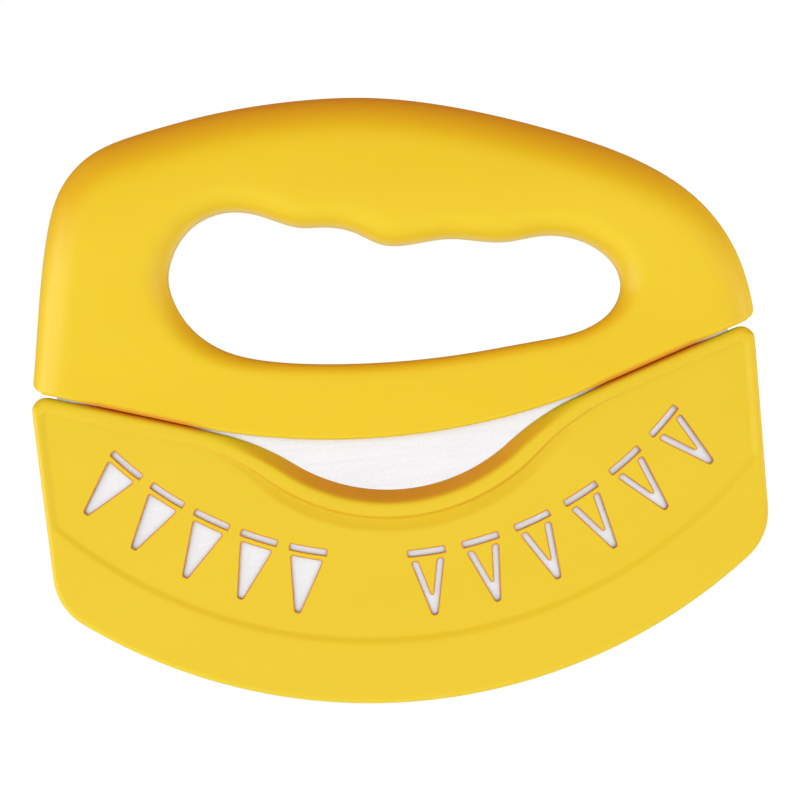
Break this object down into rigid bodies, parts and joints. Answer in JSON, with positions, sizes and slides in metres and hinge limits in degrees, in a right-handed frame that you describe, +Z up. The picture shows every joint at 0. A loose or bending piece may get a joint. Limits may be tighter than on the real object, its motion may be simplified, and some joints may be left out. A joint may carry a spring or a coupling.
{
  "type": "rocking pizza knife",
  "caption": "Rocking pizza knife: a looped moulded handle with finger grooves over a wide curved steel blade, pushed into a matching blade guard.",
  "frame": {"origin": "Lowest point of the blade guard, in the middle of its length and of its thickness.", "axes": "+X runs along the blade to the right as seen from the front, +Y points to the rear, +Z is up from the cutting edge to the top of the handle."},
  "size_m": [0.2036, 0.0254, 0.1707],
  "materials": {
    "body_plastic": "satin moulded plastic",
    "guard_plastic": "satin moulded plastic",
    "blade_steel": "fine brushed stainless",
    "pin_steel": "turned steel"
  },
  "bodies": {
    "knife": {"handle_front_shell": "body_plastic", "handle_rear_shell": "body_plastic", "blade": "blade_steel", "tang_pins": "pin_steel"},
    "guard": {"guard_front_panel": "guard_plastic", "guard_rear_panel": "guard_plastic"}
  },
  "joints": [
    {"name": "guard_slide", "type": "slide", "parent": "knife", "child": "guard", "axis": [0, 0, -1], "range_m": [0, 0.1]}
  ]
}
